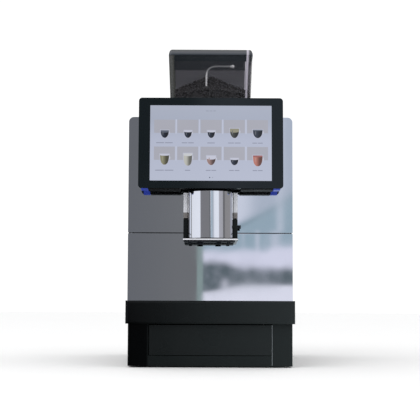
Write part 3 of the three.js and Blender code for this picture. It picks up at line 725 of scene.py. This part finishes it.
def cups():
    """A generic cup for each drink, with its foam, a shine down one side, a pale edge and a handle."""
    glow = lit("display_cup_glow", screen_tone(186, 189, 206))
    rim = lit("display_cup_rim", screen_tone(194, 197, 212))
    edges = []
    handles = []
    for index, (row, column, top, width, height, narrowing, lower, upper, share) in enumerate(DRINKS):
        x = tile_centre(column) + 0.3
        edges.append(bowl(x, top - 1.2, width + 2.4, height + 2.4, narrowing))
        handles.append(ellipse(x + width * 0.52, top + height * 0.34, width * 0.13, height * 0.17))

        sides = (SCREEN.point(x - width * 0.26, 0, 0).x, SCREEN.point(x + width * 0.26, 0, 0).x)
        drink = lit(f"display_drink_{index}", lower, 0.12, shade=sides)
        cup = bowl(x, top, width, height, narrowing)
        flat_piece(f"display_cup_{index}", [cup], LIFT["cup"], drink)

        froth = lit(f"display_foam_{index}", upper, 0.08)
        foam = bowl(x, top, width * 1.01, height * share, 0.05)
        flat_piece(f"display_foam_{index}", [foam], LIFT["foam"], froth)

        gleam = lit(f"display_shine_{index}", tuple(0.75 * c + 0.12 for c in lower), 0.05)
        shine = bowl(x - width * 0.22, top + height * 0.2, width * 0.1, height * 0.42, 0.3)
        flat_piece(f"display_shine_{index}", [shine], LIFT["shine"], gleam)
    flat_piece("display_cup_edges", edges, LIFT["glow"], glow)
    flat_piece("display_cup_handles", handles, LIFT["handle"], rim)


tile_grid()
words_and_dots()
cups()


# ---- coffee beans: sizes in mm --------------------------------------------------------------
BEAN_HALF_LENGTH = 4.8
BEAN_HALF_WIDTH = 3.5
BEAN_DOME = 2.9
BEAN_BELLY = 1.7
GROOVE_DEPTH = 0.9
BEAN_SPACING = 4.9
BEAN_TRIES = 9000
BEAN_DEPTH = 3.0         # below the heap's surface, to a bean's middle
CORE_DEPTH = 2.4
STEM_CLEARANCE = 5.5


def bean_form(rings=6, spokes=10):
    """One bean: domed above, flatter below, with a groove along the flat side."""
    points = [(0.0, 0.0, 1.0)]
    for ring in range(1, rings):
        drop = math.pi * ring / rings
        for spoke in range(spokes):
            turn = 2 * math.pi * spoke / spokes
            points.append((math.sin(drop) * math.cos(turn), math.sin(drop) * math.sin(turn), math.cos(drop)))
    points.append((0.0, 0.0, -1.0))
    faces = [(0, 1 + s, 1 + (s + 1) % spokes) for s in range(spokes)]
    for ring in range(rings - 2):
        first = 1 + ring * spokes
        for s in range(spokes):
            after = (s + 1) % spokes
            faces.append((first + s, first + spokes + s, first + spokes + after, first + after))
    last = len(points) - 1
    faces += [(last, last - spokes + (s + 1) % spokes, last - spokes + s) for s in range(spokes)]
    shaped = []
    for x, y, z in points:
        height = z * BEAN_DOME if z > 0 else z * BEAN_BELLY
        groove = GROOVE_DEPTH * math.exp(-(y / 0.22) ** 2) if z < -0.3 else 0.0
        shaped.append(Vector((x * BEAN_HALF_LENGTH, y * BEAN_HALF_WIDTH, height + groove)))
    return shaped, faces


def surface_spots(node, spacing, count):
    """Spots spread over the upper and outer faces of a mesh, no two nearer than the spacing."""
    mesh = node.data
    mesh.calc_loop_triangles()
    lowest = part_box("hopper_bin")[0].z + 2 * MM
    triangles = []
    for triangle in mesh.loop_triangles:
        a, b, c = (mesh.vertices[i].co for i in triangle.vertices)
        normal = (b - a).cross(c - a)
        area = normal.length / 2
        if area > 1e-9 and normal.z > -0.2 * normal.length and c.z > lowest:
            triangles.append((area, a, b, c, normal.normalized()))
    weights = [row[0] for row in triangles]
    spots = []
    for _, a, b, c, normal in random.choices(triangles, weights, k=count):
        u, v = random.random(), random.random()
        if u + v > 1:
            u, v = 1 - u, 1 - v
        spot = a + (b - a) * u + (c - a) * v
        if all((spot - other).length > spacing for other, _ in spots):
            spots.append((spot, normal))
    return spots


def drawn_down(foot, stem_y):
    """How the heap sinks in front of the shut-off stem, where beans have run out through the neck."""
    back = stem_y + 24 * MM
    front = stem_y - 2 * MM
    deepest_share = 0.18

    def sunk(place):
        share = min(1.0, max(0.0, (back - place.y) / (back - front)))
        fall = deepest_share * share * share * (3 - 2 * share)
        return Vector((place.x, place.y, place.z - fall * max(0.0, place.z - foot)))

    return sunk


def heap_core(heap, sunk):
    """The heap's own faces, a little inside the layer of beans."""
    solid = bmesh.new()
    solid.from_mesh(heap.data)
    bmesh.ops.remove_doubles(solid, verts=solid.verts, dist=1e-6)
    bmesh.ops.subdivide_edges(solid, edges=solid.edges, cuts=5, use_grid_fill=True)
    bmesh.ops.triangulate(solid, faces=solid.faces)
    solid.normal_update()
    for vertex in solid.verts:
        vertex.co = sunk(vertex.co - vertex.normal * CORE_DEPTH * MM)
    solid.verts.index_update()
    points = [tuple(vertex.co) for vertex in solid.verts]
    faces = [tuple(vertex.index for vertex in face.verts) for face in solid.faces]
    solid.free()
    return points, faces


def coffee_pile():
    """Beans over the whole heap, but for a clear ring around the shut-off stem."""
    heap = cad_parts["coffee_beans"]
    form, form_faces = bean_form()
    gate_low, gate_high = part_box("bean_gate")
    # The bent rod reaches to one side only, so its stem's x is taken from the brew chamber, centred on it.
    stem_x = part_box("brew_chamber")[0].lerp(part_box("brew_chamber")[1], 0.5).x
    stem_y = (gate_low.y + gate_high.y) / 2
    sunk = drawn_down(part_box("hopper_bin")[0].z, stem_y)
    points, faces = heap_core(heap, sunk)
    for spot, normal in surface_spots(heap, BEAN_SPACING * MM, BEAN_TRIES):
        if math.hypot(spot.x - stem_x, spot.y - stem_y) < STEM_CLEARANCE * MM:
            continue
        lean = normal.to_track_quat("Z", "Y").to_matrix()
        spin = Matrix.Rotation(random.uniform(0, 2 * math.pi), 3, "Z")
        roll = Matrix.Rotation(random.gauss(0, 0.5), 3, "X") @ Matrix.Rotation(random.gauss(0, 0.35), 3, "Y")
        flip = Matrix.Rotation(random.choice((0, math.pi)), 3, "X")
        turn = lean @ roll @ spin @ flip
        size = random.uniform(0.86, 1.06) * MM
        centre = spot - normal * BEAN_DEPTH * MM
        first = len(points)
        points += [tuple(sunk(centre) + turn @ (corner * size)) for corner in form]
        faces += [tuple(first + i for i in face) for face in form_faces]
    pile = piece_from("coffee_bean_pile", points, faces, FINISHES["beans"], "hopper")
    for polygon in pile.data.polygons:
        polygon.use_smooth = True
    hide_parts("coffee_beans")


coffee_pile()


# ---- steel strip standing in for the highlight at the drawer's right-hand edge --------------
def drawer_edge_highlight():
    """A narrow rolled steel strip standing in for the highlight on the drawer's edge, from the plinth's foot
    to its top.
    """
    low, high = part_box("base_plinth")
    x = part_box("grounds_drawer")[1].x + 0.9 * MM
    half_width = 0.45 * MM
    proud = 0.35 * MM
    short = 1.5 * MM
    arc = [math.pi * i / 6 for i in range(7)]
    rim = [(x - half_width * math.cos(t), low.y - proud * math.sin(t)) for t in arc]
    points = [(px, py, pz) for pz in (low.z + short, high.z - short) for px, py in rim]
    count = len(rim)
    faces = [(i, i + 1, count + i + 1, count + i) for i in range(count - 1)]
    faces += [tuple(range(count - 1, -1, -1)), tuple(range(count, 2 * count))]
    piece_from("plinth_edge_highlight", points, faces, FINISHES["steel"], "machine")


drawer_edge_highlight()


# ---- screws ---------------------------------------------------------------------------------
# The head from its rim inwards, over the crown and down into the recess: each ring's radius, as a share
# of the head's, and its height, as a share of half of that.
HEAD_RADIUS = 3.0
HEAD_RINGS = ((1.0, 0.0), (0.98, 0.35), (0.80, 0.72), (0.50, 0.92), (0.46, 0.30), (0.0, 0.22))


def screw(name, foot, body):
    """A domed head with a cross recess, standing upright on its foot point."""
    spokes = 24
    points = []
    for reach, height in HEAD_RINGS[:-1]:
        in_recess = reach < 0.55 and height < 0.5
        for i in range(spokes):
            turn = 2 * math.pi * i / spokes
            dip = 0.55 + 0.45 * abs(math.cos(2 * turn)) ** 3 if in_recess else 1.0
            points.append(Vector((reach * dip * math.cos(turn), reach * dip * math.sin(turn), height * 0.5)))
    points.append(Vector((0, 0, HEAD_RINGS[-1][1] * 0.5)))
    faces = []
    for ring in range(len(HEAD_RINGS) - 2):
        for i in range(spokes):
            after = (i + 1) % spokes
            first = ring * spokes
            faces.append((first + i, first + after, first + spokes + after, first + spokes + i))
    last = len(points) - 1
    faces += [(last, last - spokes + i, last - spokes + (i + 1) % spokes) for i in range(spokes)]
    set_points = [Vector(foot) + point * HEAD_RADIUS * MM for point in points]
    piece = piece_from(name, set_points, faces, FINISHES["steel"], body)
    smooth = piece.modifiers.new("smooth", "NODES")
    smooth.node_group = SMOOTHING


def cover_screws():
    """Six screws hold the top cover: four along its sides, two at its rear left."""
    low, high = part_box("top_cover")
    inset = 13 * MM
    places = [
        (low.x + inset, low.y + inset),
        (high.x - inset, low.y + inset),
        (low.x + inset, (low.y + high.y) / 2),
        (high.x - inset, (low.y + high.y) / 2),
        (low.x + inset, high.y - inset),
        (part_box("tank_lid")[0].x - 2 * inset, high.y - inset),
    ]
    for index, (x, y) in enumerate(places):
        screw(f"cover_screw_{index}", (x, y, high.z), "machine")


cover_screws()


# ---- camera, floor and light ----------------------------------------------------------------
def camera():
    """A low viewpoint two metres in front of the mirror, looking slightly up."""
    pitch = math.radians(4.722)
    yaw = math.radians(0.28)
    roll = math.radians(0.22)
    eye = Vector((-0.0106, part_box("door_glass")[0].y - 2.0, 0.1158))
    data = bpy.data.cameras.new("camera")
    data.lens = 94.25
    data.sensor_width = 36
    made = bpy.data.objects.new("camera", data)
    scene.collection.objects.link(made)
    look = Vector((math.sin(yaw) * math.cos(pitch), math.cos(yaw) * math.cos(pitch), math.sin(pitch)))
    turn = look.to_track_quat("-Z", "Y").to_matrix() @ Matrix.Rotation(roll, 3, "Z")
    made.matrix_world = Matrix.Translation(eye) @ turn.to_4x4()
    scene.camera = made


def floor():
    """A wide pale disc; glossy surfaces see it as a dark table top that turns pale to the right."""
    spokes = 64
    radius = 9.0
    points = []
    for i in range(spokes):
        turn = 2 * math.pi * i / spokes
        points.append((radius * math.cos(turn), radius * math.sin(turn), 0))
    mesh = bpy.data.meshes.new("floor")
    mesh.from_pydata(points, [], [tuple(range(spokes))])
    made = Finish("floor_pale", Roughness=0.9)
    made.mottle((0.93, 0.93, 0.93), (0.95, 0.95, 0.95), 3)
    to_right = made.remap(made.spread(made.place)[0], -0.16, 0.16)
    table = made.add("Emission", (made.mix(to_right, paint(0.03), paint((0.62, 0.70, 0.72))),)).outputs[0]
    seen = made.unless_mirrored(made.shader.outputs[0], table)
    made.feed(made.tree.nodes["Material Output"].inputs["Surface"], seen)
    mesh.materials.append(made.material)
    ground = bpy.data.objects.new("floor", mesh)
    scene.collection.objects.link(ground)


# The room that glossy surfaces mirror, laid out to suit the main view. Azimuths and heights are in
# degrees, 0 is straight out from the machine's front, and azimuths grow to the right.
def room_tones(net, azimuth):
    """The walls all round, with bright openings to both sides and behind."""
    def at(degrees, tone):
        return ((degrees + 180) / 360, tone)

    return net.ramp(net.remap(azimuth, -180, 180), [
        at(-180, 0.17),
        at(-112, 0.16),
        at(-108, (0.76, 0.79, 0.87)),
        at(-54, (0.80, 0.83, 0.92)),
        at(-50, (0.20, 0.20, 0.22)),
        at(-8, (0.20, 0.20, 0.215)),
        at(-4, (0.142, 0.148, 0.165)),
        at(-1.2, (0.172, 0.176, 0.188)),
        at(1.2, (0.172, 0.176, 0.188)),
        at(3, (0.46, 0.52, 0.60)),
        at(13, (0.42, 0.45, 0.52)),
        at(19, (0.76, 0.80, 0.89)),
        at(41, (0.80, 0.83, 0.92)),
        at(44, (0.41, 0.41, 0.46)),
        at(64, (0.38, 0.38, 0.42)),
        at(67, (0.13, 0.13, 0.14)),
        at(74, (0.15, 0.15, 0.16)),
        at(79, (0.26, 0.255, 0.265)),
        at(160, (0.28, 0.27, 0.28)),
        at(167, (0.82, 0.82, 0.87)),
        at(180, (0.80, 0.80, 0.84)),
    ])


def curtains(net, azimuth, height, plan):
    """Teal curtains with pale pleats, under a lighter cloth whose lower edge climbs to the right."""
    teal = paint((0.33, 0.43, 0.51))
    middle = paint((0.46, 0.51, 0.61))
    pale = paint((0.66, 0.69, 0.80))

    climb = net.math("MULTIPLY_ADD", azimuth, -0.57, 1.21)
    above_fold = net.minus(net.math("ADD", height, climb), 3.97)
    cloth = net.mix(net.rise(above_fold, -0.1, 0.35), teal, middle)
    wedge = net.times(net.rise(above_fold, 0.12, 0.5), net.rise(azimuth, 2.95, 1.9))
    cloth = net.mix(wedge, cloth, pale)
    fold_shadow = net.times(net.peak(above_fold, 0.0, 0.2), 0.7)
    cloth = net.mix(fold_shadow, cloth, paint((0.25, 0.33, 0.39)))
    side_light = net.times(net.peak(azimuth, 3.95, 0.35), 0.6)
    cloth = net.mix(side_light, cloth, pale)

    folds = net.noise(net.stretched(plan, (2.6, 0.18, 1.0)), 1.0, 2.0)
    two_pleats = net.math("MAXIMUM", net.peak(azimuth, 2.76, 0.22), net.peak(azimuth, 3.68, 0.5))
    pleats = net.math("MAXIMUM", net.times(two_pleats, 0.75), net.remap(folds, 0.5, 0.8, 0.0, 0.5))
    curtain = net.mix(pleats, teal, paint((0.60, 0.63, 0.74)))
    return net.mix(net.rise(height, 3.45, 3.75), curtain, cloth)


def window_view(net, azimuth, height):
    """Right of a door jamb, from below: a pale sill, a dark band, a bright band, and the curtains."""
    plan = net.add("CombineXYZ", (azimuth, height, 0.0)).outputs[0]
    waver = net.noise(net.stretched(plan, (1.0, 0.8, 1.0)), 1.1, 2.0)
    level = net.math("ADD", height, net.remap(waver, 0.0, 1.0, -0.2, 0.2))

    over_bright = net.minus(level, net.remap(azimuth, 3.0, 4.6, 2.50, 2.78, smooth=True))
    bright = paint((0.74, 0.74, 0.88))
    view = net.mix(net.rise(over_bright, -0.12, 0.34), bright, curtains(net, azimuth, height, plan))
    blotch = net.noise(plan, 2.2, 3.0)
    dark = net.mix(net.remap(blotch, 0.35, 0.65), paint((0.105, 0.135, 0.155)), paint((0.19, 0.215, 0.25)))
    over_dark = net.minus(level, net.remap(azimuth, 0.2, 2.8, 2.05, 1.70, smooth=True))
    view = net.mix(net.rise(over_dark, -0.30, 0.24), dark, view)

    over_sill = net.minus(height, net.remap(azimuth, -0.1, 2.3, 0.42, 0.79, smooth=True))
    view = net.mix(net.rise(over_sill, -0.10, 0.14), paint((0.80, 0.80, 0.91)), view)
    spot = net.times(net.peak(azimuth, 1.07, 0.27), net.peak(height, 0.88, 0.42))
    view = net.mix(spot, view, paint((0.66, 0.66, 0.76)))
    return net.mix(net.rise(azimuth, -0.13, -0.01), paint((0.26, 0.33, 0.33)), view)


def studio():
    """White to the eye and to matt surfaces; glossy ones see a room with a bright curtained window."""
    world = bpy.data.worlds.new("studio")
    world.use_nodes = True
    scene.world = world
    net = Net(world.node_tree)
    x, y, z = net.spread(net.add("TexCoord").outputs["Generated"])
    flat = net.math("SQRT", net.math("ADD", net.times(x, x), net.times(y, y)))
    azimuth = net.math("DEGREES", net.math("ARCTAN2", x, net.times(y, -1.0)))
    height = net.math("DEGREES", net.math("ARCTAN2", z, flat))

    room = room_tones(net, azimuth)
    near = net.mix(net.rise(azimuth, -0.44, -0.34), room, window_view(net, azimuth, height))
    ahead = net.remap(net.math("ABSOLUTE", azimuth), 6.0, 12.0, 1.0, 0.0, smooth=True)
    around = net.mix(ahead, room, near)
    surroundings = net.mix(net.rise(height, 14.0, 40.0), around, paint((0.55, 0.57, 0.60)))

    plain = net.add("Background", (paint(1.0), 1.08)).outputs[0]
    mirrored = net.add("Background", (surroundings, 1.0)).outputs[0]
    net.tree.nodes.remove(net.tree.nodes["Background"])
    net.feed(net.tree.nodes["World Output"].inputs["Surface"], net.unless_mirrored(plain, mirrored))


def soft_light():
    """One broad light from the upper left front, which glossy surfaces don't mirror."""
    data = bpy.data.lights.new("soft_key", "AREA")
    data.shape = "RECTANGLE"
    data.size = 1.8
    data.size_y = 1.4
    data.energy = 14
    made = bpy.data.objects.new("soft_key", data)
    scene.collection.objects.link(made)
    made.location = (-1.3, -1.9, 2.1)
    target = Vector((0, 0, 0.25))
    made.rotation_euler = (target - made.location).to_track_quat("-Z", "Y").to_euler()
    made.visible_glossy = False


camera()
floor()
studio()
soft_light()
